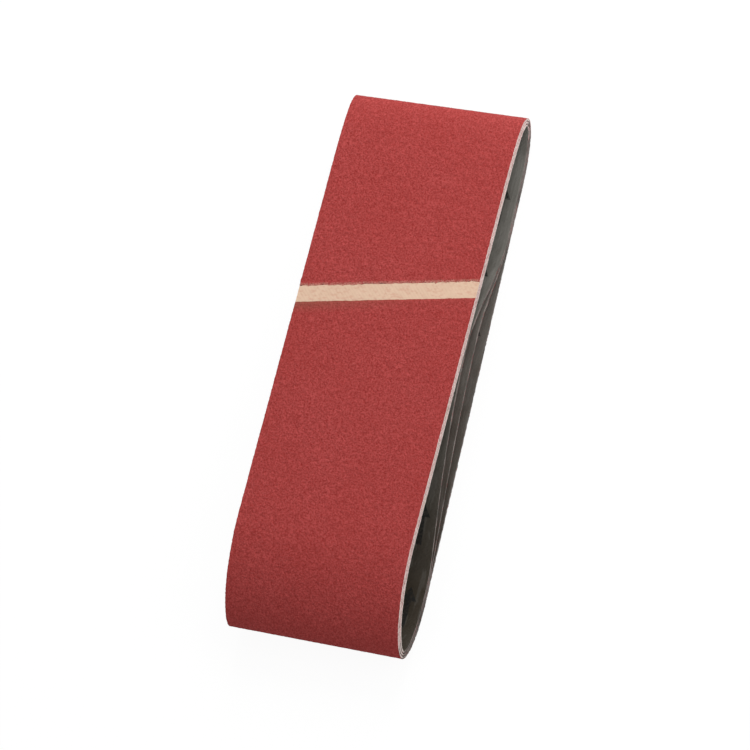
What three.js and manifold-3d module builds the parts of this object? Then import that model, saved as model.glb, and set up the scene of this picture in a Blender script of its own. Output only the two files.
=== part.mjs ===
// A pack of three endless sanding belts for a hand-held belt sander, folded flat one inside the other.
// Millimetres. The pack lies on the back web of its outermost belt: +X runs along the pack to its
// narrow fold, Y runs across the belts and +Z is up through both webs. The origin is under the middle
// of the pack, on the surface that it lies on.

import * as THREE from 'three';
import { mergeVertices } from 'three/addons/utils/BufferGeometryUtils.js';
import Module from 'manifold-3d';

const wasm = await Module();
wasm.setup();

// Belt stock: grit in resin on the outside, cotton cloth, and a dark resin film on the inside.
const BELT_WIDTH = 75;
const GRIT_THICKNESS = 0.35;
const CLOTH_THICKNESS = 0.5;
const BACK_FILM_THICKNESS = 0.1;
const BELT_THICKNESS = GRIT_THICKNESS + CLOTH_THICKNESS + BACK_FILM_THICKNESS;

// Space between one belt and the next where they lie together.
const NESTING_GAP = 0.15;

// Folded outline of the outermost belt, measured over its grit.
const PACK_LENGTH = 221.2;
const FRONT_WEB_HEIGHT_WIDE = 27.6;
const FRONT_WEB_HEIGHT_NARROW = 18.6;
const WIDE_SHOULDER = 44;
const NARROW_SHOULDER = 29.5;
const WIDE_TOE = 24.5;
const NARROW_TOE = 27;
const WIDE_NOSE_HEIGHT = 11;
const NARROW_NOSE_HEIGHT = 10;
const NARROW_NOSE_REACH = 5.5;

// Share of a fold's length or height over which each end of its curve keeps to its own direction.
const NARROW_TOE_EASE = 0.6;
const NARROW_SHOULDER_EASE = 0.66;
const WIDE_SHOULDER_EASE = 0.6;
const WIDE_NOSE_UPPER_EASE = 0.6;
const WIDE_NOSE_LOWER_EASE = 0.55;
const WIDE_TOE_EASE = 0.55;

// Bow of the middle and inner back webs, which are slack and stand up off the web behind them. The
// bows start together near the narrow fold and end together near the wide one. The inner bow rises
// until it all but touches its own front web, and the power shapes the fall on its wide side.
const BOW_START_FROM_NARROW_END = 47.5;
const MIDDLE_CREST_FROM_NARROW_END = 91;
const INNER_CREST_FROM_NARROW_END = 99;
const BOW_END_FROM_WIDE_END = 34.2;
const MIDDLE_BOW_HEIGHT = 9;
const CREST_GAP = 0.3;
const BOW_FALL_POWER = 1.3;

// Glued joint of each belt: a skewed strip of the face that holds no grit.
const JOINT_WIDTH = 6.6;
const JOINT_SKEW = THREE.MathUtils.degToRad(9.8);
const JOINT_STRIP_THICKNESS = 0.15;
const JOINT_CLEARANCE = 0.3;
const OUTER_JOINT_FROM_NARROW_END = 80.3;
const MIDDLE_JOINT_FROM_NARROW_END = 130;
const INNER_JOINT_FROM_WIDE_END = 53.2;

// Points on each stretch of a belt's outline.
const REST_STEPS = 30;
const FRONT_STEPS = 16;
const FOLD_STEPS = 12;

const narrowEnd = PACK_LENGTH / 2;
const wideEnd = -PACK_LENGTH / 2;
const bowStart = narrowEnd - BOW_START_FROM_NARROW_END;
const bowEnd = wideEnd + BOW_END_FROM_WIDE_END;

// Outline of the outermost belt over its grit, as points (x, z) that run along the back web to the
// narrow fold, back along the front web and round the wide fold.
function outermostOutline() {
  const frontSlope = (FRONT_WEB_HEIGHT_WIDE - FRONT_WEB_HEIGHT_NARROW)
    / (PACK_LENGTH - WIDE_SHOULDER - NARROW_SHOULDER);
  const toeNarrow = new THREE.Vector2(narrowEnd - NARROW_TOE, 0);
  const noseNarrow = new THREE.Vector2(narrowEnd, NARROW_NOSE_HEIGHT);
  const shoulderNarrow = new THREE.Vector2(narrowEnd - NARROW_SHOULDER, FRONT_WEB_HEIGHT_NARROW);
  const shoulderWide = new THREE.Vector2(wideEnd + WIDE_SHOULDER, FRONT_WEB_HEIGHT_WIDE);
  const noseWide = new THREE.Vector2(wideEnd, WIDE_NOSE_HEIGHT);
  const toeWide = new THREE.Vector2(wideEnd + WIDE_TOE, 0);

  // A fold's curve leaves one point along one direction and reaches the next along another. The two
  // reaches say how far each end keeps to its own direction.
  const fold = (from, fromDirection, fromReach, to, toDirection, toReach) => new THREE.CubicBezierCurve(
    from,
    from.clone().addScaledVector(fromDirection, fromReach),
    to.clone().addScaledVector(toDirection, -toReach),
    to,
  );
  const along = new THREE.Vector2(1, 0);
  const up = new THREE.Vector2(0, 1);
  const back = new THREE.Vector2(-1, frontSlope);
  const down = new THREE.Vector2(0, -1);
  const narrowToeReach = NARROW_TOE_EASE * NARROW_TOE;
  const narrowShoulderReach = NARROW_SHOULDER_EASE * NARROW_SHOULDER;
  const wideShoulderReach = WIDE_SHOULDER_EASE * WIDE_SHOULDER;
  const wideNoseUpperReach = WIDE_NOSE_UPPER_EASE * WIDE_NOSE_HEIGHT;
  const wideNoseLowerReach = WIDE_NOSE_LOWER_EASE * WIDE_NOSE_HEIGHT;
  const wideToeReach = WIDE_TOE_EASE * WIDE_TOE;
  const stretches = [
    [new THREE.LineCurve(toeWide, toeNarrow), REST_STEPS],
    [fold(toeNarrow, along, narrowToeReach, noseNarrow, up, NARROW_NOSE_REACH), FOLD_STEPS],
    [fold(noseNarrow, up, NARROW_NOSE_REACH, shoulderNarrow, back, narrowShoulderReach), FOLD_STEPS],
    [new THREE.LineCurve(shoulderNarrow, shoulderWide), FRONT_STEPS],
    [fold(shoulderWide, back, wideShoulderReach, noseWide, down, wideNoseUpperReach), FOLD_STEPS],
    [fold(noseWide, down, wideNoseLowerReach, toeWide, along, wideToeReach), FOLD_STEPS],
  ];
  return stretches.flatMap(([curve, steps]) => curve.getPoints(steps).slice(0, steps));
}

// Unit vector that points into the loop at each point of a closed outline.
function inwardNormals(outline) {
  return outline.map((point, index) => {
    const next = outline[(index + 1) % outline.length];
    const previous = outline[(index + outline.length - 1) % outline.length];
    const direction = next.clone().sub(previous).normalize();
    return new THREE.Vector2(-direction.y, direction.x);
  });
}

function movedInward(outline, distance) {
  const normals = inwardNormals(outline);
  return outline.map((point, index) => point.clone().addScaledVector(normals[index], distance));
}

// Height of a back web's bow at x, as a share of its crest: a smooth rise from the narrow side and a
// longer fall to the wide side.
function bowShare(x, crest) {
  if (x >= bowStart || x <= bowEnd) return 0;
  if (x >= crest) return 0.5 - 0.5 * Math.cos(Math.PI * (bowStart - x) / (bowStart - crest));
  return (1 - ((crest - x) / (crest - bowEnd)) ** 2) ** BOW_FALL_POWER;
}

// Raises the back web of a nested outline, which is its first stretch.
function bowed(outline, crest, height) {
  return outline.map((point, index) => {
    if (index > REST_STEPS) return point;
    return new THREE.Vector2(point.x, point.y + height * bowShare(point.x, crest));
  });
}

// Place and slope of an outline's front web at x.
function frontWebAt(outline, x) {
  const first = REST_STEPS + FOLD_STEPS;
  for (let index = first; index < outline.length - 1; index += 1) {
    const from = outline[index];
    const to = outline[index + 1];
    if (from.x >= x && to.x < x) {
      const share = (from.x - x) / (from.x - to.x);
      return { z: from.y + share * (to.y - from.y), slope: (to.y - from.y) / (to.x - from.x) };
    }
  }
  return { z: outline[first].y, slope: 0 };
}

// Closed sheet of one layer, between its outer and inner outlines, across the belt's width. Each
// point of the outlines gives four corners: outer and inner, at the near and the far edge.
function layerGeometry(outerOutline, innerOutline) {
  const positions = [];
  for (let index = 0; index < outerOutline.length; index += 1) {
    for (const point of [outerOutline[index], innerOutline[index]]) {
      positions.push(point.x, -BELT_WIDTH / 2, point.y);
      positions.push(point.x, BELT_WIDTH / 2, point.y);
    }
  }
  const triangles = [];
  const quad = (a, b, c, d) => triangles.push(a, b, c, a, c, d);
  for (let index = 0; index < outerOutline.length; index += 1) {
    const here = 4 * index;
    const next = 4 * ((index + 1) % outerOutline.length);
    quad(here, here + 1, next + 1, next);
    quad(here + 2, next + 2, next + 3, here + 3);
    quad(here, next, next + 2, here + 2);
    quad(here + 1, here + 3, next + 3, next + 1);
  }
  const geometry = new THREE.BufferGeometry();
  geometry.setAttribute('position', new THREE.Float32BufferAttribute(positions, 3));
  geometry.setIndex(triangles);
  return geometry;
}

function toSolid(geometry) {
  return new wasm.Manifold(new wasm.Mesh({
    numProp: 3,
    vertProperties: new Float32Array(geometry.attributes.position.array),
    triVerts: new Uint32Array(geometry.index.array),
  }));
}

function toGeometry(solid) {
  const mesh = solid.getMesh();
  const geometry = new THREE.BufferGeometry();
  geometry.setAttribute('position', new THREE.BufferAttribute(mesh.vertProperties, 3));
  geometry.setIndex(new THREE.BufferAttribute(mesh.triVerts, 1));
  return geometry;
}

// Box that covers the front web along a belt's joint at x, over the given length of belt. It reaches
// well past the belt's edges and both its faces.
function jointBox(outline, x, length) {
  const web = frontWebAt(outline, x);
  const box = new THREE.BoxGeometry(length / Math.cos(JOINT_SKEW), 2 * BELT_WIDTH, 4 * BELT_THICKNESS);
  const turn = new THREE.Matrix4().makeRotationZ(JOINT_SKEW);
  const tilt = new THREE.Matrix4().makeRotationY(-Math.atan(web.slope));
  box.applyMatrix4(tilt.multiply(turn));
  box.translate(x, 0, web.z);
  box.deleteAttribute('normal');
  box.deleteAttribute('uv');
  return toSolid(mergeVertices(box));
}

const gritMaterial = new THREE.MeshStandardMaterial({ color: 0xa63b3c, roughness: 0.9, metalness: 0 });
const clothMaterial = new THREE.MeshStandardMaterial({ color: 0xd9c7b6, roughness: 0.95, metalness: 0 });
const backFilmMaterial = new THREE.MeshStandardMaterial({ color: 0x4c463f, roughness: 0.8, metalness: 0 });
const jointMaterial = new THREE.MeshStandardMaterial({ color: 0xdcbc9c, roughness: 0.7, metalness: 0 });

function named(name, geometry, material) {
  const mesh = new THREE.Mesh(geometry, material);
  mesh.name = name;
  return mesh;
}

// One whole belt, from the outline over its grit and the place of its joint along the front web.
function makeBelt(name, outline, jointX) {
  const overCloth = movedInward(outline, GRIT_THICKNESS);
  const overBackFilm = movedInward(outline, GRIT_THICKNESS + CLOTH_THICKNESS);
  const inside = movedInward(outline, BELT_THICKNESS);
  const overJointStrip = movedInward(outline, GRIT_THICKNESS - JOINT_STRIP_THICKNESS);

  const bareStrip = jointBox(outline, jointX, JOINT_WIDTH);
  const grit = toSolid(layerGeometry(outline, overCloth)).subtract(bareStrip);
  const stripLength = JOINT_WIDTH - 2 * JOINT_CLEARANCE;
  const stripArea = jointBox(outline, jointX, stripLength);
  const strip = toSolid(layerGeometry(overJointStrip, overCloth)).intersect(stripArea);

  const belt = new THREE.Group();
  belt.add(named(`${name}_grit_coat`, toGeometry(grit), gritMaterial));
  belt.add(named(`${name}_joint_strip`, toGeometry(strip), jointMaterial));
  belt.add(named(`${name}_cloth`, layerGeometry(overCloth, overBackFilm), clothMaterial));
  belt.add(named(`${name}_back_film`, layerGeometry(overBackFilm, inside), backFilmMaterial));
  return belt;
}

// Each nested belt follows the inside of the belt around it, except where its back web bows.
const pitch = BELT_THICKNESS + NESTING_GAP;
const outerOutline = outermostOutline();
const middleNested = movedInward(outerOutline, pitch);
const innerNested = movedInward(outerOutline, 2 * pitch);
const middleCrest = narrowEnd - MIDDLE_CREST_FROM_NARROW_END;
const innerCrest = narrowEnd - INNER_CREST_FROM_NARROW_END;
const innerFrontInside = frontWebAt(movedInward(innerNested, BELT_THICKNESS), innerCrest).z;
const innerBackInside = 2 * pitch + BELT_THICKNESS;
const innerBowHeight = innerFrontInside - CREST_GAP - innerBackInside;
const middleOutline = bowed(middleNested, middleCrest, MIDDLE_BOW_HEIGHT);
const innerOutline = bowed(innerNested, innerCrest, innerBowHeight);

const pack = new THREE.Group();
pack.add(makeBelt('outer', outerOutline, narrowEnd - OUTER_JOINT_FROM_NARROW_END));
pack.add(makeBelt('middle', middleOutline, narrowEnd - MIDDLE_JOINT_FROM_NARROW_END));
pack.add(makeBelt('inner', innerOutline, wideEnd + INNER_JOINT_FROM_WIDE_END));

export default pack;
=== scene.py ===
# A flat pack of three endless sanding belts, one folded inside the other, as it comes from its wrapper.
# Metres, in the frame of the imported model: +X to the narrow fold, Y across the belts, +Z up.

import math

import bmesh
import bpy
import numpy as np
from mathutils import Matrix, Vector


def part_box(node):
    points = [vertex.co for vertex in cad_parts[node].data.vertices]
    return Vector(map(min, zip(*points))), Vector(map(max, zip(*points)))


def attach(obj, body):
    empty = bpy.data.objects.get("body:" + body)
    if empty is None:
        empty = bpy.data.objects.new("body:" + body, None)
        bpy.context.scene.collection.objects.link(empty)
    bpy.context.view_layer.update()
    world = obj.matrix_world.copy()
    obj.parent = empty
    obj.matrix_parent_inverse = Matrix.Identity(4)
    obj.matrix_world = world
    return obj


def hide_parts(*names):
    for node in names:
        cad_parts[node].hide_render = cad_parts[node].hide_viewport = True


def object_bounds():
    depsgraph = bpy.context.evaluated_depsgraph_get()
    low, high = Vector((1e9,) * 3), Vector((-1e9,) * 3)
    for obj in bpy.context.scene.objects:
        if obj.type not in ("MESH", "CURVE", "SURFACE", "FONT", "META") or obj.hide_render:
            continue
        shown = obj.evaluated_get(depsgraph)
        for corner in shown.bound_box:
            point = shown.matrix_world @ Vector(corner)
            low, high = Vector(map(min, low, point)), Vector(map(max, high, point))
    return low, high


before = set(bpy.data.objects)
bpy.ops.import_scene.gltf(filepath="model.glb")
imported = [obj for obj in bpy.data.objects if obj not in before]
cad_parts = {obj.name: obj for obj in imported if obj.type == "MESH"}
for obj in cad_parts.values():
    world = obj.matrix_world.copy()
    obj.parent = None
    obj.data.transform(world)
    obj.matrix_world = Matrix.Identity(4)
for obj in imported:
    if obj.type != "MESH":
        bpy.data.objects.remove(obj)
cad_low, cad_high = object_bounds()

# Camera: a long lens above the wide end's near edge, turned so that the pack stands in the picture
# with its narrow fold at the top.
CAMERA_AIM = Vector((-0.0015, 0.0016, 0.0104))
CAMERA_DISTANCE = 1.7838
CAMERA_AZIMUTH = math.radians(-22.0)
CAMERA_ELEVATION = math.radians(64.64)
CAMERA_ROLL = math.radians(-56.6)

camera = bpy.data.objects.new("camera", bpy.data.cameras.new("camera"))
bpy.context.scene.collection.objects.link(camera)
bpy.context.scene.camera = camera
camera.data.lens = 216
camera.data.sensor_width = 36
camera.data.clip_start = 0.01
camera.data.clip_end = 20
away = Vector((
    math.sin(CAMERA_AZIMUTH) * math.cos(CAMERA_ELEVATION),
    -math.cos(CAMERA_AZIMUTH) * math.cos(CAMERA_ELEVATION),
    math.sin(CAMERA_ELEVATION),
))
level = Vector((math.cos(CAMERA_AZIMUTH), math.sin(CAMERA_AZIMUTH), 0))
right = Matrix.Rotation(CAMERA_ROLL, 3, away) @ level
camera.matrix_world = Matrix.Translation(CAMERA_AIM + away * CAMERA_DISTANCE) @ Matrix(
    (right, away.cross(right), away)
).transposed().to_4x4()

# Studio: a wide white floor that keeps a soft shadow of the pack, one large soft lamp beyond the
# narrow fold, a weaker one at the near side, and a pale world that fills the rest.
FLOOR_SIZE = 6.0
FLOOR_PAINT = 0.55
FLOOR_SHADOW = 0.16
FLOOR_LIT = 0.42
WORLD_LEVEL = 0.5

scene = bpy.context.scene
scene.view_settings.view_transform = "Standard"

floor_mesh = bpy.data.meshes.new("floor")
half_floor = FLOOR_SIZE / 2
floor_mesh.from_pydata(
    [(-half_floor, -half_floor, 0), (half_floor, -half_floor, 0),
     (half_floor, half_floor, 0), (-half_floor, half_floor, 0)],
    [], [(0, 1, 2, 3)],
)
floor = bpy.data.objects.new("floor", floor_mesh)
floor.location.z = cad_low.z - 0.0001
scene.collection.objects.link(floor)

floor_material = bpy.data.materials.new("floor_white")
floor_material.use_nodes = True
nodes, links = floor_material.node_tree.nodes, floor_material.node_tree.links
nodes.clear()
floor_out = nodes.new("ShaderNodeOutputMaterial")
floor_paint = nodes.new("ShaderNodeBsdfDiffuse")
floor_paint.inputs["Color"].default_value = (FLOOR_PAINT, FLOOR_PAINT, FLOOR_PAINT, 1)
floor_white = nodes.new("ShaderNodeEmission")
floor_white.inputs["Strength"].default_value = (1 - FLOOR_SHADOW * FLOOR_LIT) / (1 - FLOOR_SHADOW)
floor_mix = nodes.new("ShaderNodeMixShader")
floor_ray = nodes.new("ShaderNodeLightPath")
floor_share = nodes.new("ShaderNodeMath")
floor_share.operation = "MULTIPLY"
floor_share.inputs[1].default_value = 1 - FLOOR_SHADOW
links.new(floor_ray.outputs["Is Camera Ray"], floor_share.inputs[0])
links.new(floor_share.outputs[0], floor_mix.inputs["Fac"])
links.new(floor_paint.outputs[0], floor_mix.inputs[1])
links.new(floor_white.outputs[0], floor_mix.inputs[2])
links.new(floor_mix.outputs[0], floor_out.inputs["Surface"])
floor_mesh.materials.append(floor_material)

world = bpy.data.worlds.new("world")
scene.world = world
world.use_nodes = True
nodes, links = world.node_tree.nodes, world.node_tree.links
nodes.clear()
world_out = nodes.new("ShaderNodeOutputWorld")
world_fill = nodes.new("ShaderNodeBackground")
world_fill.inputs["Color"].default_value = (1, 1, 1, 1)
world_fill.inputs["Strength"].default_value = WORLD_LEVEL
world_seen = nodes.new("ShaderNodeBackground")
world_seen.inputs["Color"].default_value = (1, 1, 1, 1)
world_seen.inputs["Strength"].default_value = 1
world_mix = nodes.new("ShaderNodeMixShader")
world_ray = nodes.new("ShaderNodeLightPath")
world_either = nodes.new("ShaderNodeMath")
world_either.operation = "MAXIMUM"
links.new(world_ray.outputs["Is Camera Ray"], world_either.inputs[0])
links.new(world_ray.outputs["Is Glossy Ray"], world_either.inputs[1])
links.new(world_either.outputs[0], world_mix.inputs["Fac"])
links.new(world_fill.outputs[0], world_mix.inputs[1])
links.new(world_seen.outputs[0], world_mix.inputs[2])
links.new(world_mix.outputs[0], world_out.inputs["Surface"])


def add_lamp(name, place, size, power):
    """Square soft lamp, aimed at the pack."""
    lamp = bpy.data.objects.new(name, bpy.data.lights.new(name, "AREA"))
    lamp.data.size = size
    lamp.data.energy = power
    lamp.location = place
    lamp.rotation_euler = (-Vector(place)).to_track_quat("-Z", "Y").to_euler()
    scene.collection.objects.link(lamp)


add_lamp("key_lamp", (0.66, -0.08, 0.46), 0.45, 4.2)
add_lamp("near_lamp", (0.35, -0.85, 0.55), 0.6, 3.0)


# Cloth of each belt: a stiff cotton twill, woven and sized, slit to width and closed to a loop. All
# the other layers are laid on it. Its slit edges are pale and a little frayed.
BELTS = ("outer", "middle", "inner")
THREAD_STEP = 0.0005
EDGE_ROWS = 3
FRAY = 0.00004
CLOTH_COLUMNS = 6
CLOTH_PALE = (0.93, 0.85, 0.79, 1)
CLOTH_SHADE = (0.78, 0.66, 0.60, 1)
CLOTH_STAIN = (0.80, 0.56, 0.53, 1)
# Painted shade: near-black colour laid on the slit edges of the back web.
EDGE_PAINTED_SHADE = (0.06, 0.057, 0.049, 1)
MERGE = 1e-6


def rim_points(node):
    """Outline (x, z) of a closed layer's outer face at its near edge, anticlockwise."""
    solid = bmesh.new()
    solid.from_mesh(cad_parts[node].data)
    bmesh.ops.remove_doubles(solid, verts=solid.verts, dist=MERGE)
    following = {}
    for face in solid.faces:
        if face.normal.y > -0.5:
            continue
        for loop in face.loops:
            beside = [other for other in loop.edge.link_faces if other != face]
            if beside and beside[0].normal.y > -0.5:
                following[loop.vert] = loop.link_loop_next.vert
    rims = []
    while following:
        start, vertex = following.popitem()
        rim = [start]
        while vertex != start:
            rim.append(vertex)
            vertex = following.pop(vertex)
        rims.append(np.array([(v.co.x, v.co.z) for v in rim]))
    solid.free()
    rim = max(rims, key=lambda points: np.ptp(points[:, 0]))
    following_point = np.roll(rim, -1, axis=0)
    area = np.sum(rim[:, 0] * following_point[:, 1] - following_point[:, 0] * rim[:, 1]) / 2
    return rim if area > 0 else rim[::-1]


def smooth_loop(points, step):
    """Closed smooth curve through the points, as points about one step apart."""
    ahead = np.roll(points, -1, axis=0) - points
    spans = np.linalg.norm(ahead, axis=1)
    slopes = ahead / spans[:, None]
    spans_before = np.roll(spans, 1)
    blended = slopes * spans_before[:, None] + np.roll(slopes, 1, axis=0) * spans[:, None]
    tangents = blended / (spans + spans_before)[:, None]
    starts = np.concatenate([[0], np.cumsum(spans)])
    places = np.linspace(0, starts[-1], int(starts[-1] / step), endpoint=False)
    piece = np.searchsorted(starts, places, side="right") - 1
    t = ((places - starts[piece]) / spans[piece])[:, None]
    span = spans[piece][:, None]
    after = (piece + 1) % len(points)
    return (
        (2 * t**3 - 3 * t**2 + 1) * points[piece]
        + (t**3 - 2 * t**2 + t) * span * tangents[piece]
        + (3 * t**2 - 2 * t**3) * points[after]
        + (t**3 - t**2) * span * tangents[after]
    )


class Loop:
    """Line that a belt's cloth follows, measured along it from the middle of its joint."""

    def __init__(self, belt):
        line = smooth_loop(rim_points(belt + "_cloth"), 0.00025)
        strip_low, strip_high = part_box(belt + "_joint_strip")
        on_front = line[:, 1] > strip_low.z - 0.001
        from_joint = np.abs(line[:, 0] - (strip_low.x + strip_high.x) / 2) + ~on_front
        line = np.roll(line, -int(np.argmin(from_joint)), axis=0)
        closed = np.vstack([line, line[:1]])
        steps = np.linalg.norm(np.diff(closed, axis=0), axis=1)
        self.places = np.concatenate([[0], np.cumsum(steps)])
        self.length = self.places[-1]
        self.line = closed
        direction = np.roll(line, -1, axis=0) - np.roll(line, 1, axis=0)
        direction /= np.linalg.norm(direction, axis=1)[:, None]
        out = np.column_stack([direction[:, 1], -direction[:, 0]])
        self.out = np.vstack([out, out[:1]])

    def at(self, along, across, height):
        """Points at a place along the belt, across it and above the cloth's outer face."""
        along = np.mod(along, self.length)
        x, z = (np.interp(along, self.places, self.line[:, k]) for k in (0, 1))
        out_x, out_z = (np.interp(along, self.places, self.out[:, k]) for k in (0, 1))
        return np.stack([x + out_x * height, across + 0 * x, z + out_z * height], axis=-1)

    def faces_up(self, along):
        """How far the belt's outer face looks up at each place: 1 on the front web, -1 on the back."""
        return np.interp(np.mod(along, self.length), self.places, self.out[:, 1])


def swept(
    name, points, belt_places, web_up, closed, materials, cut_columns=(), from_ground_edge=0.0
):
    """Closed mesh through rows of points, each row a ring round the layer's section. belt_places
    gives each point's place along and across the belt, for its pattern, and web_up tells the front
    web, which faces up, from the back web. The faces of cut_columns take the second material.
    from_ground_edge is each row's distance from the edge that was ground at the joint."""
    rows, ring = points.shape[:2]
    mesh = bpy.data.meshes.new(name)
    faces = []
    for row in range(rows if closed else rows - 1):
        here, there = row * ring, (row + 1) % rows * ring
        for column in range(ring):
            beside = (column + 1) % ring
            faces.append((here + column, here + beside, there + beside, there + column))
    if not closed:
        faces.append(tuple(range(ring - 1, -1, -1)))
        faces.append(tuple(range((rows - 1) * ring, rows * ring)))
    mesh.from_pydata(points.reshape(-1, 3).tolist(), [], faces)
    pattern = mesh.uv_layers.new(name="belt")
    corner = np.empty(len(mesh.loops), dtype=np.int64)
    mesh.loops.foreach_get("vertex_index", corner)
    places = belt_places.reshape(-1, 2)[corner]
    if closed:
        last_row = slice(4 * ring * (rows - 1), 4 * ring * rows)
        wrapped = corner[last_row] < ring
        places[last_row, 0] += wrapped * belt_places[-1, 0, 0] * rows / (rows - 1)
    pattern.data.foreach_set("uv", places.ravel())
    facing = mesh.uv_layers.new(name="web")
    web = np.empty((rows, ring, 2))
    web[..., 0] = 0.5 + 0.5 * web_up
    web[..., 1] = from_ground_edge
    facing.data.foreach_set("uv", web.reshape(-1, 2)[corner].ravel())
    mesh.polygons.foreach_set("use_smooth", np.ones(len(mesh.polygons), dtype=bool))
    mesh.set_sharp_from_angle(angle=math.radians(50))
    for material in materials:
        mesh.materials.append(material)
    for column in cut_columns:
        for row in range(rows if closed else rows - 1):
            mesh.polygons[row * ring + column].material_index = 1
    piece = bpy.data.objects.new(name, mesh)
    scene.collection.objects.link(piece)
    return piece


def section_ring(half_width, top, bottom, columns, edge_rows):
    """Ring round a flat section: across and height of each point, from the near edge over the top
    to the far edge and back underneath."""
    across = np.linspace(-half_width, half_width, columns + 1)
    down = np.linspace(top, bottom, edge_rows + 1)[1:-1]
    over = np.column_stack([across, np.full(columns + 1, top)])
    far = np.column_stack([np.full(len(down), half_width), down])
    under = np.column_stack([across[::-1], np.full(columns + 1, bottom)])
    near = np.column_stack([np.full(len(down), -half_width), down[::-1]])
    return np.vstack([over, far, under, near])


cloth_loops = {}
random = np.random.default_rng(7)
CLOTH_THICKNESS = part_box("outer_back_film")[0].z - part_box("outer_cloth")[0].z
half_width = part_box("outer_cloth")[1].y

speckle = bpy.data.node_groups.new("speckle", "ShaderNodeTree")
for socket, kind, direction in (
    ("Grain Size", "NodeSocketFloat", "INPUT"),
    ("Contrast", "NodeSocketFloat", "INPUT"),
    ("Stretch", "NodeSocketVector", "INPUT"),
    ("Mask", "NodeSocketFloat", "OUTPUT"),
):
    speckle.interface.new_socket(socket, in_out=direction, socket_type=kind)
nodes, links = speckle.nodes, speckle.links
speckle_in = nodes.new("NodeGroupInput")
speckle_out = nodes.new("NodeGroupOutput")
speckle_place = nodes.new("ShaderNodeTexCoord")
speckle_stretch = nodes.new("ShaderNodeVectorMath")
speckle_stretch.operation = "MULTIPLY"
speckle_scale = nodes.new("ShaderNodeMath")
speckle_scale.operation = "DIVIDE"
speckle_scale.inputs[0].default_value = 1
speckle_noise = nodes.new("ShaderNodeTexNoise")
speckle_noise.inputs["Detail"].default_value = 3
speckle_centre = nodes.new("ShaderNodeMath")
speckle_centre.operation = "SUBTRACT"
speckle_centre.inputs[1].default_value = 0.5
speckle_gain = nodes.new("ShaderNodeMath")
speckle_gain.operation = "MULTIPLY_ADD"
speckle_gain.inputs[2].default_value = 0.5
speckle_gain.use_clamp = True
links.new(speckle_place.outputs["Object"], speckle_stretch.inputs[0])
links.new(speckle_in.outputs["Stretch"], speckle_stretch.inputs[1])
links.new(speckle_stretch.outputs[0], speckle_noise.inputs["Vector"])
links.new(speckle_in.outputs["Grain Size"], speckle_scale.inputs[1])
links.new(speckle_scale.outputs[0], speckle_noise.inputs["Scale"])
links.new(speckle_noise.outputs["Fac"], speckle_centre.inputs[0])
links.new(speckle_centre.outputs[0], speckle_gain.inputs[0])
links.new(speckle_in.outputs["Contrast"], speckle_gain.inputs[1])
links.new(speckle_gain.outputs[0], speckle_out.inputs["Mask"])

weave = bpy.data.node_groups.new("twill_weave", "ShaderNodeTree")
for socket, kind, direction in (
    ("Thread Width", "NodeSocketFloat", "INPUT"),
    ("Height", "NodeSocketFloat", "OUTPUT"),
    ("Thread Tone", "NodeSocketFloat", "OUTPUT"),
):
    weave.interface.new_socket(socket, in_out=direction, socket_type=kind)
nodes, links = weave.nodes, weave.links
weave_in = nodes.new("NodeGroupInput")
weave_out = nodes.new("NodeGroupOutput")
weave_place = nodes.new("ShaderNodeUVMap")
weave_place.uv_map = "belt"
weave_threads = nodes.new("ShaderNodeVectorMath")
weave_threads.operation = "DIVIDE"
weave_width = nodes.new("ShaderNodeCombineXYZ")
weave_split = nodes.new("ShaderNodeSeparateXYZ")
weave_diagonal = nodes.new("ShaderNodeMath")
weave_diagonal.operation = "ADD"
weave_turn = nodes.new("ShaderNodeMath")
weave_turn.operation = "MULTIPLY"
weave_turn.inputs[1].default_value = math.tau / 3
weave_ridge = nodes.new("ShaderNodeMath")
weave_ridge.operation = "SINE"
weave_warp_turn = nodes.new("ShaderNodeMath")
weave_warp_turn.operation = "MULTIPLY"
weave_warp_turn.inputs[1].default_value = math.tau
weave_warp = nodes.new("ShaderNodeMath")
weave_warp.operation = "COSINE"
weave_sum = nodes.new("ShaderNodeMath")
weave_sum.operation = "MULTIPLY_ADD"
weave_sum.inputs[1].default_value = 0.6
weave_level = nodes.new("ShaderNodeMapRange")
weave_level.inputs["From Min"].default_value = -1.6
weave_level.inputs["From Max"].default_value = 1.6
weave_streak = nodes.new("ShaderNodeVectorMath")
weave_streak.operation = "MULTIPLY"
weave_streak.inputs[1].default_value = (0.04, 0.8, 1)
weave_tone = nodes.new("ShaderNodeTexNoise")
weave_tone.inputs["Scale"].default_value = 1
weave_tone.inputs["Detail"].default_value = 2
for axis in "XYZ":
    links.new(weave_in.outputs["Thread Width"], weave_width.inputs[axis])
links.new(weave_place.outputs[0], weave_threads.inputs[0])
links.new(weave_width.outputs[0], weave_threads.inputs[1])
links.new(weave_threads.outputs[0], weave_split.inputs[0])
links.new(weave_split.outputs["X"], weave_diagonal.inputs[0])
links.new(weave_split.outputs["Y"], weave_diagonal.inputs[1])
links.new(weave_diagonal.outputs[0], weave_turn.inputs[0])
links.new(weave_turn.outputs[0], weave_ridge.inputs[0])
links.new(weave_split.outputs["Y"], weave_warp_turn.inputs[0])
links.new(weave_warp_turn.outputs[0], weave_warp.inputs[0])
links.new(weave_warp.outputs[0], weave_sum.inputs[0])
links.new(weave_ridge.outputs[0], weave_sum.inputs[2])
links.new(weave_sum.outputs[0], weave_level.inputs["Value"])
links.new(weave_threads.outputs[0], weave_streak.inputs[0])
links.new(weave_streak.outputs[0], weave_tone.inputs["Vector"])
links.new(weave_level.outputs[0], weave_out.inputs["Height"])
links.new(weave_tone.outputs["Fac"], weave_out.inputs["Thread Tone"])

# Painted shade: a mask that darkens the slit edges where the belt's outer face looks down, on the back web,
# patchy with noise.
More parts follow.
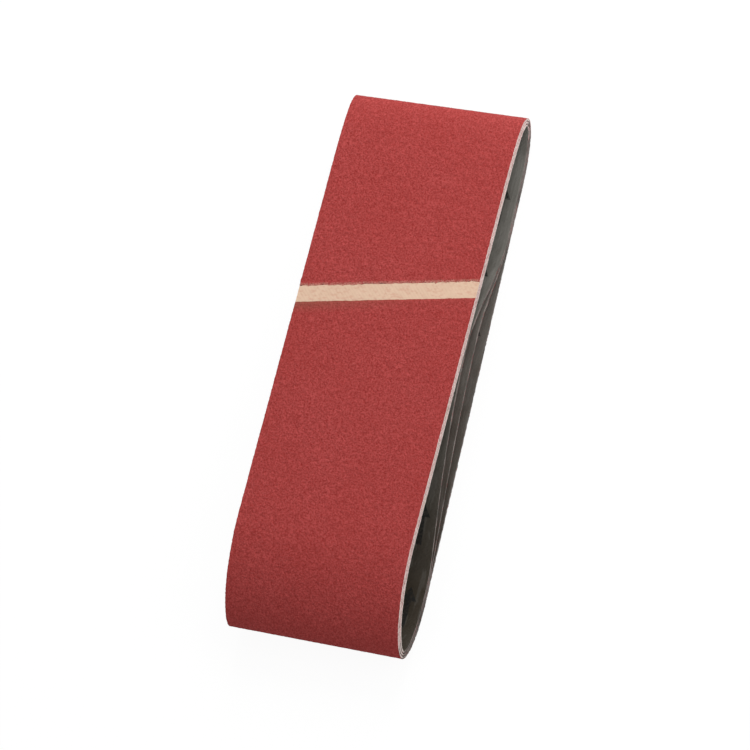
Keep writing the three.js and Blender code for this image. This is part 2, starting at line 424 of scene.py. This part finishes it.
edge_shade_group = bpy.data.node_groups.new("edge_painted_shade", "ShaderNodeTree")
for socket, kind, direction in (
    ("Lit Above", "NodeSocketFloat", "INPUT"),
    ("Shaded Below", "NodeSocketFloat", "INPUT"),
    ("Strength", "NodeSocketFloat", "INPUT"),
    ("Mask", "NodeSocketFloat", "OUTPUT"),
):
    edge_shade_group.interface.new_socket(socket, in_out=direction, socket_type=kind)
nodes, links = edge_shade_group.nodes, edge_shade_group.links
shade_in = nodes.new("NodeGroupInput")
shade_out = nodes.new("NodeGroupOutput")
shade_web = nodes.new("ShaderNodeUVMap")
shade_web.uv_map = "web"
shade_split = nodes.new("ShaderNodeSeparateXYZ")
shade_ramp = nodes.new("ShaderNodeMapRange")
shade_ramp.interpolation_type = "SMOOTHSTEP"
shade_patch = nodes.new("ShaderNodeGroup")
shade_patch.node_tree = speckle
shade_patch.inputs["Grain Size"].default_value = 0.0035
shade_patch.inputs["Contrast"].default_value = 3
shade_patch.inputs["Stretch"].default_value = (0.6, 1, 1)
shade_spread = nodes.new("ShaderNodeMapRange")
shade_spread.inputs["To Min"].default_value = 0.75
shade_mask = nodes.new("ShaderNodeMath")
shade_mask.operation = "MULTIPLY"
shade_level = nodes.new("ShaderNodeMath")
shade_level.operation = "MULTIPLY"
links.new(shade_web.outputs[0], shade_split.inputs[0])
links.new(shade_split.outputs["X"], shade_ramp.inputs["Value"])
links.new(shade_in.outputs["Lit Above"], shade_ramp.inputs["From Max"])
links.new(shade_in.outputs["Shaded Below"], shade_ramp.inputs["From Min"])
shade_ramp.inputs["To Min"].default_value = 1
shade_ramp.inputs["To Max"].default_value = 0
links.new(shade_patch.outputs["Mask"], shade_spread.inputs["Value"])
links.new(shade_ramp.outputs[0], shade_mask.inputs[0])
links.new(shade_spread.outputs[0], shade_mask.inputs[1])
links.new(shade_mask.outputs[0], shade_level.inputs[0])
links.new(shade_in.outputs["Strength"], shade_level.inputs[1])
links.new(shade_level.outputs[0], shade_out.inputs["Mask"])


def new_material(name, roughness):
    """Material with one Principled shader, and its nodes and links."""
    material = bpy.data.materials.new(name)
    material.use_nodes = True
    tree = material.node_tree
    shader = tree.nodes["Principled BSDF"]
    shader.inputs["Roughness"].default_value = roughness
    shader.inputs["Specular IOR Level"].default_value = 0.18
    return material, tree.nodes, tree.links, shader


def add_speckle(nodes, size, contrast, stretch=(1, 1, 1)):
    """Speckle mask of one grain size."""
    group = nodes.new("ShaderNodeGroup")
    group.node_tree = speckle
    group.inputs["Grain Size"].default_value = size
    group.inputs["Contrast"].default_value = contrast
    group.inputs["Stretch"].default_value = stretch
    return group.outputs["Mask"]


def add_edge_shade(nodes, strength):
    """Mask of painted shade that darkens the slit edges of the back web, whose outer face looks down."""
    group = nodes.new("ShaderNodeGroup")
    group.node_tree = edge_shade_group
    group.inputs["Lit Above"].default_value = 0.52
    group.inputs["Shaded Below"].default_value = 0.3
    group.inputs["Strength"].default_value = strength
    return group.outputs["Mask"]


def add_weave(nodes, thread_width):
    """Twill weave along the belt, with threads of one width."""
    group = nodes.new("ShaderNodeGroup")
    group.node_tree = weave
    group.inputs["Thread Width"].default_value = thread_width
    return group.outputs["Height"], group.outputs["Thread Tone"]


def add_mix(nodes, links, mask, low, high):
    """Colour between low and high, each a colour or another node's output."""
    mix = nodes.new("ShaderNodeMix")
    mix.data_type = "RGBA"
    links.new(mask, mix.inputs["Factor"])
    for socket, colour in (("A", low), ("B", high)):
        target = next(i for i in mix.inputs if i.name == socket and i.type == "RGBA")
        if isinstance(colour, tuple):
            target.default_value = colour
        else:
            links.new(colour, target)
    return next(o for o in mix.outputs if o.type == "RGBA")


def add_math(nodes, links, operation, *values):
    """Math node on numbers or other nodes' outputs."""
    math_node = nodes.new("ShaderNodeMath")
    math_node.operation = operation
    for index, value in enumerate(values):
        if isinstance(value, (int, float)):
            math_node.inputs[index].default_value = value
        else:
            links.new(value, math_node.inputs[index])
    return math_node.outputs[0]


def add_range(nodes, links, value, from_low, from_high, to_low, to_high):
    """Value moved from one range to another and kept within it."""
    span = nodes.new("ShaderNodeMapRange")
    for socket, number in zip(span.inputs[1:5], (from_low, from_high, to_low, to_high)):
        socket.default_value = number
    links.new(value, span.inputs["Value"])
    return span.outputs[0]


def add_bump(nodes, links, shader, heights):
    """Bumps of the given heights in metres, laid one on the other."""
    normal = None
    for height, distance in heights:
        bump = nodes.new("ShaderNodeBump")
        bump.inputs["Distance"].default_value = distance
        links.new(height, bump.inputs["Height"])
        if normal is not None:
            links.new(normal, bump.inputs["Normal"])
        normal = bump.outputs["Normal"]
    links.new(normal, shader.inputs["Normal"])


cloth_material, nodes, links, shader = new_material("slit_cotton", 0.95)
shader.inputs["Sheen Weight"].default_value = 0.15
cut_threads = add_speckle(nodes, 0.00045, 1.8)
stains = add_speckle(nodes, 0.004, 1.6)
edge_colour = add_mix(nodes, links, cut_threads, CLOTH_SHADE, CLOTH_PALE)
edge_stained = nodes.new("ShaderNodeMath")
edge_stained.operation = "MULTIPLY"
edge_stained.inputs[1].default_value = 0.35
links.new(stains, edge_stained.inputs[0])
edge_colour = add_mix(nodes, links, edge_stained.outputs[0], edge_colour, CLOTH_STAIN)
# Painted shade on the slit edges of the back web.
edge_colour = add_mix(nodes, links, add_edge_shade(nodes, 0.95), edge_colour, EDGE_PAINTED_SHADE)
links.new(edge_colour, shader.inputs["Base Color"])
add_bump(nodes, links, shader, [(cut_threads, 0.00008)])


def frayed(points, ring, amount):
    """Moves the points on both slit edges in or out by a random amount."""
    on_edge = np.isclose(np.abs(ring[:, 0]), half_width) * np.sign(ring[:, 0])
    points[..., 1] += random.normal(0, amount, points.shape[:2]) * on_edge
    return points


def slit_columns(ring):
    """Columns of a swept layer's faces that lie on its two slit edges."""
    on_edge = np.isclose(np.abs(ring[:, 0]), half_width)
    return [int(column) for column in np.flatnonzero(on_edge & np.roll(on_edge, -1))]


def belt_pattern(along, ring):
    """Place along and across the belt of each point of a swept layer."""
    across = ring[:, 0] + np.sign(ring[:, 0]) * np.abs(ring[:, 1]) * 0.5
    return np.stack([along + 0 * across, across + 0 * along], axis=-1)


for belt in BELTS:
    loop = Loop(belt)
    cloth_loops[belt] = loop
    ring = section_ring(half_width, 0, -CLOTH_THICKNESS, CLOTH_COLUMNS, EDGE_ROWS)
    rows = int(loop.length / THREAD_STEP)
    along = np.linspace(0, loop.length, rows, endpoint=False)[:, None]
    points = frayed(loop.at(along, ring[:, 0], ring[:, 1]), ring, FRAY)
    cloth = swept(
        belt + "_cloth_loop", points, belt_pattern(along, ring), loop.faces_up(along), True,
        [cloth_material]
    )
    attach(cloth, belt + "_belt")
    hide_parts(belt + "_cloth")


# Loose threads: single cotton fibres that the slitting knife left standing at the cut edges. They
# are part of the cloth, and only the longest can be seen.
THREADS = {"outer": 150, "middle": 60, "inner": 60}
THREAD_RADIUS = 0.00003
THREAD_LENGTHS = (0.0002, 0.0008)
THREAD_RINGS = 5
THREAD_SIDES = 4

for belt in BELTS:
    loop = cloth_loops[belt]
    vertices, faces = [], []
    for _ in range(THREADS[belt]):
        side = random.choice((-1, 1))
        root = random.uniform(0, loop.length)
        depth = -random.uniform(0.15, 0.85) * CLOTH_THICKNESS
        reach = random.uniform(*THREAD_LENGTHS)
        lean = random.uniform(-1.5, 1.5) * reach
        curl = random.uniform(-0.5, 0.5) * reach
        first = len(vertices)
        for ring_index in range(THREAD_RINGS):
            share = ring_index / (THREAD_RINGS - 1)
            radius = THREAD_RADIUS * (1 - 0.7 * share)
            place = root + lean * share + curl * share**2
            out = side * (half_width - 0.0001 + reach * math.sin(share * 1.3))
            for corner in range(THREAD_SIDES):
                turn = math.tau * corner / THREAD_SIDES
                swing = (radius * math.cos(turn), radius * math.sin(turn))
                vertices.append(loop.at(place + swing[0], out, depth + swing[1]))
        for ring_index in range(THREAD_RINGS - 1):
            for corner in range(THREAD_SIDES):
                here = first + ring_index * THREAD_SIDES
                beside = (corner + 1) % THREAD_SIDES
                quad = (here + corner, here + beside,
                        here + beside + THREAD_SIDES, here + corner + THREAD_SIDES)
                faces.append(quad if side < 0 else quad[::-1])
        tip = first + (THREAD_RINGS - 1) * THREAD_SIDES
        root_face = tuple(range(first, first + THREAD_SIDES))
        tip_face = tuple(range(tip, tip + THREAD_SIDES))
        faces.append(root_face[::-1] if side < 0 else root_face)
        faces.append(tip_face if side < 0 else tip_face[::-1])
    threads_mesh = bpy.data.meshes.new(belt + "_loose_threads")
    threads_mesh.from_pydata([tuple(map(float, v)) for v in vertices], [], faces)
    threads = bpy.data.objects.new(belt + "_loose_threads", threads_mesh)
    scene.collection.objects.link(threads)
    threads_mesh.materials.append(cloth_material)
    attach(threads, belt + "_belt")


# Grit coat: red aluminium oxide grains in resin, electrocoated on the cloth's outer face. It is ground
# off at the joint, so it starts and ends there: cleanly on one side and raggedly on the other.
GRIT_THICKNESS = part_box("outer_cloth")[0].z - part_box("outer_grit_coat")[0].z
GRIT_COLUMNS = {"outer": 124, "middle": 50, "inner": 50}
GRIT_STEP = {"outer": 0.00066, "middle": 0.0018, "inner": 0.0018}
GRAIN_HEIGHT = 0.00003
CHIPPED_EDGE = 0.00005
JOINT_SKEW = math.tan(math.radians(9.8))
JOINT_HALF_WIDTH = 0.00335
RAGGED_EDGE = 0.00028
CLEAN_EDGE = 0.00005
RAGGED_REACH = 0.0012
GROUND_RAMP = 0.0009
GROUND_SHARE = 0.43
GROUND_FADE = 0.02
GRIT_RED = (0.48, 0.062, 0.060, 1)
GRIT_DEEP = (0.27, 0.022, 0.020, 1)
GRIT_PALE = (0.60, 0.14, 0.13, 1)
GRIT_WORN = (0.34, 0.032, 0.026, 1)
# Painted shade: dark brown for a band of grit beside the joint's clean edge.
GRIT_PAINTED_SHADE = (0.24, 0.085, 0.055, 1)
GRIT_DUSTY = (0.74, 0.42, 0.32, 1)
JOINT_SHADE_START, JOINT_SHADE_REACH = 0.0004, 0.005
JOINT_SHADE_STRENGTH = 0.62
JOINT_SHADE_LEAST = 0.12
JOINT_SHADE_FROM_ACROSS, JOINT_SHADE_FULL_ACROSS = -0.012, 0.036
DUST_START, DUST_REACH = 0.0001, 0.0013
DUST_STRENGTH = 0.85
GROUND_STEP = 0.00005

grit_material, nodes, links, shader = new_material("red_grit", 0.82)
clusters = add_speckle(nodes, 0.0022, 3.6)
grains = add_speckle(nodes, 0.0008, 3.6)
bright_grains = add_speckle(nodes, 0.0003, 7)
patches = add_speckle(nodes, 0.03, 1.6)
grit_colour = add_mix(nodes, links, grains, GRIT_DEEP, GRIT_RED)
grit_clustered = nodes.new("ShaderNodeMath")
grit_clustered.operation = "MULTIPLY"
grit_clustered.inputs[1].default_value = 0.45
links.new(clusters, grit_clustered.inputs[0])
grit_colour = add_mix(nodes, links, grit_clustered.outputs[0], grit_colour, GRIT_DEEP)
grit_bright = nodes.new("ShaderNodeMath")
grit_bright.operation = "MULTIPLY"
grit_bright.inputs[1].default_value = 0.3
links.new(bright_grains, grit_bright.inputs[0])
grit_colour = add_mix(nodes, links, grit_bright.outputs[0], grit_colour, GRIT_PALE)
grit_patched = nodes.new("ShaderNodeMath")
grit_patched.operation = "MULTIPLY"
grit_patched.inputs[1].default_value = 0.35
links.new(patches, grit_patched.inputs[0])
grit_colour = add_mix(nodes, links, grit_patched.outputs[0], grit_colour, GRIT_WORN)
ground_place = nodes.new("ShaderNodeUVMap")
ground_place.uv_map = "web"
ground_split = nodes.new("ShaderNodeSeparateXYZ")
links.new(ground_place.outputs[0], ground_split.inputs[0])
belt_place = nodes.new("ShaderNodeUVMap")
belt_place.uv_map = "belt"
belt_split = nodes.new("ShaderNodeSeparateXYZ")
links.new(belt_place.outputs[0], belt_split.inputs[0])
from_joint = ground_split.outputs["Y"]
# Painted shade: the grit turns dark brown in a band up to 5 mm wide beside the joint's clean edge. The band
# is stronger towards the far side of the belt.
joint_shade = add_range(nodes, links, from_joint, JOINT_SHADE_REACH, JOINT_SHADE_START, 0, JOINT_SHADE_STRENGTH)
after_joint = add_range(nodes, links, from_joint, 0, GROUND_STEP, 0, 1)
across_place = belt_split.outputs["Y"]
far_side = add_range(
    nodes, links, across_place, JOINT_SHADE_FROM_ACROSS, JOINT_SHADE_FULL_ACROSS, JOINT_SHADE_LEAST, 1
)
joint_shade = add_math(nodes, links, "MULTIPLY", joint_shade, after_joint)
joint_shade = add_math(nodes, links, "MULTIPLY", joint_shade, far_side)
grit_colour = add_mix(nodes, links, joint_shade, grit_colour, GRIT_PAINTED_SHADE)
dusty = add_range(nodes, links, from_joint, -DUST_REACH, -DUST_START, 0, DUST_STRENGTH)
before_joint = add_range(nodes, links, from_joint, 0, -GROUND_STEP, 0, 1)
dusty = add_math(nodes, links, "MULTIPLY", dusty, before_joint)
dusty = add_math(nodes, links, "MULTIPLY", dusty, bright_grains)
grit_colour = add_mix(nodes, links, dusty, grit_colour, GRIT_DUSTY)
links.new(grit_colour, shader.inputs["Base Color"])
grit_roughness = nodes.new("ShaderNodeMapRange")
grit_roughness.inputs["To Min"].default_value = 0.95
grit_roughness.inputs["To Max"].default_value = 0.7
links.new(grains, grit_roughness.inputs["Value"])
links.new(grit_roughness.outputs[0], shader.inputs["Roughness"])
add_bump(nodes, links, shader, [(clusters, 0.00012), (grains, 0.00012), (bright_grains, 0.00003)])

CUT_GRIT_PALE = (0.88, 0.66, 0.64, 1)
CUT_GRIT_RED = (0.66, 0.32, 0.31, 1)
cut_grit_material, nodes, links, shader = new_material("cut_grit_edge", 0.9)
lint = add_speckle(nodes, 0.0006, 2.4)
cut_colour = add_mix(nodes, links, lint, CUT_GRIT_RED, CUT_GRIT_PALE)
# Painted shade on the slit edges of the back web.
cut_colour = add_mix(nodes, links, add_edge_shade(nodes, 0.95), cut_colour, EDGE_PAINTED_SHADE)
links.new(cut_colour, shader.inputs["Base Color"])
add_bump(nodes, links, shader, [(lint, 0.00008)])


def ragged(across, amount, step):
    """Random in-and-out of a ground edge at places across the belt, with teeth about one step wide."""
    knots = np.arange(-half_width - step, half_width + 2 * step, step)
    teeth = random.normal(0, amount, len(knots)) + random.normal(0, amount, len(knots)) ** 2 / amount / 3
    return np.interp(across, knots, teeth)


for belt in BELTS:
    loop = cloth_loops[belt]
    ring = section_ring(half_width, GRIT_THICKNESS, 0, GRIT_COLUMNS[belt], 2)
    close = np.array((0, 0.0001, 0.0002, 0.00035, 0.00055, 0.0008, 0.0011, 0.0015))
    start, end = JOINT_HALF_WIDTH, loop.length - JOINT_HALF_WIDTH
    middle_rows = int((end - start - 0.004) / GRIT_STEP[belt])
    base = np.concatenate([
        start + close,
        np.linspace(start + 0.002, end - 0.002, middle_rows),
        end - close[::-1],
    ])[:, None]
    from_start, from_end = base - start, end - base
    across = ring[:, 0]
    along = base + JOINT_SKEW * across
    along = along + ragged(across, CLEAN_EDGE, 0.002) * np.exp(-from_start / RAGGED_REACH)
    along = along - ragged(across, RAGGED_EDGE, 0.0007) * np.exp(-from_end / RAGGED_REACH)
    ramp = np.clip(np.minimum(from_start, from_end) / GROUND_RAMP, 0, 1)
    height = ring[:, 1] * (GROUND_SHARE + (1 - GROUND_SHARE) * ramp)
    height = height + random.normal(0, GRAIN_HEIGHT, height.shape) * (ring[:, 1] > 0.9 * GRIT_THICKNESS)
    points = frayed(loop.at(along, across, height), ring, CHIPPED_EDGE)
    places = np.stack([along, across + 0 * along], axis=-1)
    from_ground = np.where(
        from_start < from_end,
        np.minimum(from_start, GROUND_FADE),
        -np.minimum(from_end, GROUND_FADE),
    )
    grit = swept(
        belt + "_grit", points, places, loop.faces_up(base), False,
        [grit_material, cut_grit_material], slit_columns(ring), from_ground
    )
    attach(grit, belt + "_belt")
    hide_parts(belt + "_grit_coat")


# Joint strip: the skewed stretch where the two ends of the belt are skived, lapped and glued. The
# grit is ground away there, and the pale glue-filled twill shows, with a little red dust in it.
STRIP_THICKNESS = 0.00015
STRIP_HALF_WIDTH = 0.0036
STRIP_RAMP = 0.0004
STRIP_ROWS = 20
STRIP_COLUMNS = 150
STRIP_PALE = (0.73, 0.52, 0.38, 1)
STRIP_SHADE = (0.66, 0.44, 0.31, 1)
STRIP_DUST = (0.60, 0.30, 0.22, 1)

strip_material, nodes, links, shader = new_material("glued_joint", 0.75)
weave_height, thread_tone = add_weave(nodes, 0.00055)
strip_blotches = add_speckle(nodes, 0.003, 2.2)
dust = add_speckle(nodes, 0.0011, 3.5, (1, 0.5, 1))
strip_colour = add_mix(nodes, links, thread_tone, STRIP_SHADE, STRIP_PALE)
strip_colour = add_mix(nodes, links, strip_blotches, strip_colour, STRIP_PALE)
strip_dusted = nodes.new("ShaderNodeMapRange")
strip_dusted.inputs["From Min"].default_value = 0.55
strip_dusted.inputs["From Max"].default_value = 1.0
strip_dusted.inputs["To Max"].default_value = 0.4
links.new(dust, strip_dusted.inputs["Value"])
strip_colour = add_mix(nodes, links, strip_dusted.outputs[0], strip_colour, STRIP_DUST)
links.new(strip_colour, shader.inputs["Base Color"])
add_bump(nodes, links, shader, [(weave_height, 0.00003), (strip_blotches, 0.00005)])

for belt in BELTS:
    loop = cloth_loops[belt]
    ring = section_ring(half_width, STRIP_THICKNESS, 0, STRIP_COLUMNS, 1)
    base = np.linspace(-STRIP_HALF_WIDTH, STRIP_HALF_WIDTH, STRIP_ROWS)[:, None]
    across = ring[:, 0]
    along = base + JOINT_SKEW * across
    feather = np.clip((STRIP_HALF_WIDTH - np.abs(base)) / STRIP_RAMP, 0, 1)
    height = ring[:, 1] * (0.7 + 0.3 * feather)
    height = height + random.normal(0, 0.000008, height.shape) * (ring[:, 1] > 0)
    points = frayed(loop.at(along, across, height), ring, FRAY / 2)
    places = np.stack([along, across + 0 * along], axis=-1)
    strip = swept(belt + "_joint", points, places, loop.faces_up(base), False, [strip_material])
    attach(strip, belt + "_belt")
    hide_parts(belt + "_joint_strip")


# Back film: dark resin wiped into the twill of the belt's inner face. The weave shows through it, and
# it carries a row of plain printed arrows near each edge for the running direction.
FILM_THICKNESS = 0.0001
FILM_STEP = 0.001
FILM_COLUMNS = 40
FILM_GREY = (0.34, 0.33, 0.30, 1)
FILM_DARK = (0.20, 0.19, 0.17, 1)
# Dark brown: the painted shade at the wide end, and the tone of darker threads.
FILM_BROWN = (0.055, 0.042, 0.028, 1)
FILM_SCUFF = (0.36, 0.35, 0.32, 1)
PRINT_BLACK = (0.016, 0.015, 0.014, 1)
ARROW_REPEAT = 0.034
ARROW_FROM_EDGE = 0.0062
ARROW_LENGTH = 0.017
ARROW_SHAFT = 0.0012
ARROW_HEAD = 0.0036

film_material, nodes, links, shader = new_material("resin_back", 0.5)
shader.inputs["Specular IOR Level"].default_value = 0.45
weave_height, thread_tone = add_weave(nodes, 0.00055)
film_patches = add_speckle(nodes, 0.012, 1.6)
film_fine = add_speckle(nodes, 0.0009, 2.4)
scuffs = add_speckle(nodes, 0.0022, 5, (0.15, 1, 1))
film_colour = add_mix(nodes, links, film_patches, FILM_DARK, FILM_GREY)
# Painted light and shade: the film is paler grey towards the narrow fold and darker brown towards the wide
# end, by its place along X.
film_place = nodes.new("ShaderNodeTexCoord")
film_end = nodes.new("ShaderNodeSeparateXYZ")
film_painted_light_ramp = nodes.new("ShaderNodeMapRange")
film_painted_light_ramp.inputs["From Min"].default_value = cad_low.x * 0.75
film_painted_light_ramp.inputs["From Max"].default_value = cad_high.x * 0.65
links.new(film_place.outputs["Object"], film_end.inputs[0])
links.new(film_end.outputs["X"], film_painted_light_ramp.inputs["Value"])
film_colour = add_mix(nodes, links, film_painted_light_ramp.outputs[0], FILM_BROWN, film_colour)
film_threaded = nodes.new("ShaderNodeMath")
film_threaded.operation = "MULTIPLY"
film_threaded.inputs[1].default_value = 0.6
links.new(thread_tone, film_threaded.inputs[0])
film_colour = add_mix(nodes, links, film_threaded.outputs[0], film_colour, FILM_BROWN)
film_scuffed = nodes.new("ShaderNodeMapRange")
film_scuffed.inputs["From Min"].default_value = 0.6
film_scuffed.inputs["To Max"].default_value = 0.12
links.new(scuffs, film_scuffed.inputs["Value"])
film_colour = add_mix(nodes, links, film_scuffed.outputs[0], film_colour, FILM_SCUFF)

print_place = nodes.new("ShaderNodeUVMap")
print_place.uv_map = "belt"
print_split = nodes.new("ShaderNodeSeparateXYZ")
links.new(print_place.outputs[0], print_split.inputs[0])

arrow_along = add_math(nodes, links, "MODULO", print_split.outputs["X"], ARROW_REPEAT)
from_centre = add_math(nodes, links, "ABSOLUTE", print_split.outputs["Y"])
arrow_row = half_width - ARROW_FROM_EDGE
arrow_across = add_math(nodes, links, "ABSOLUTE", add_math(nodes, links, "SUBTRACT", from_centre, arrow_row))
head_start = ARROW_LENGTH - 1.6 * ARROW_HEAD
on_shaft = add_math(
    nodes, links, "MULTIPLY",
    add_math(nodes, links, "LESS_THAN", arrow_across, ARROW_SHAFT),
    add_math(nodes, links, "LESS_THAN", arrow_along, head_start),
)
to_tip = add_math(nodes, links, "SUBTRACT", ARROW_LENGTH, arrow_along)
head_width = add_math(nodes, links, "MULTIPLY", to_tip, 1 / 1.6)
on_head = add_math(
    nodes, links, "MULTIPLY",
    add_math(nodes, links, "LESS_THAN", arrow_across, head_width),
    add_math(nodes, links, "GREATER_THAN", arrow_along, head_start),
)
on_arrow = add_math(nodes, links, "MAXIMUM", on_shaft, on_head)
worn_print = nodes.new("ShaderNodeMapRange")
worn_print.inputs["From Min"].default_value = 0.15
worn_print.inputs["From Max"].default_value = 0.6
worn_print.inputs["To Min"].default_value = 0.45
worn_print.inputs["To Max"].default_value = 0.95
links.new(film_fine, worn_print.inputs["Value"])
print_mask = add_math(nodes, links, "MULTIPLY", on_arrow, worn_print.outputs[0])
film_colour = add_mix(nodes, links, print_mask, film_colour, PRINT_BLACK)
links.new(film_colour, shader.inputs["Base Color"])
film_roughness = nodes.new("ShaderNodeMapRange")
film_roughness.inputs["To Min"].default_value = 0.42
film_roughness.inputs["To Max"].default_value = 0.68
links.new(film_patches, film_roughness.inputs["Value"])
links.new(film_roughness.outputs[0], shader.inputs["Roughness"])
add_bump(nodes, links, shader, [(weave_height, 0.00006), (film_fine, 0.00004)])

for belt in BELTS:
    loop = cloth_loops[belt]
    ring = section_ring(
        half_width, -CLOTH_THICKNESS, -CLOTH_THICKNESS - FILM_THICKNESS, FILM_COLUMNS, 1
    )
    rows = int(loop.length / FILM_STEP)
    along = np.linspace(0, loop.length, rows, endpoint=False)[:, None]
    points = frayed(loop.at(along, ring[:, 0], ring[:, 1]), ring, FRAY / 2)
    places = np.stack([along + 0 * ring[:, 0], ring[:, 0] + 0 * along], axis=-1)
    film = swept(
        belt + "_resin_back", points, places, loop.faces_up(along), True,
        [film_material, cloth_material], slit_columns(ring)
    )
    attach(film, belt + "_belt")
    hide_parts(belt + "_back_film")
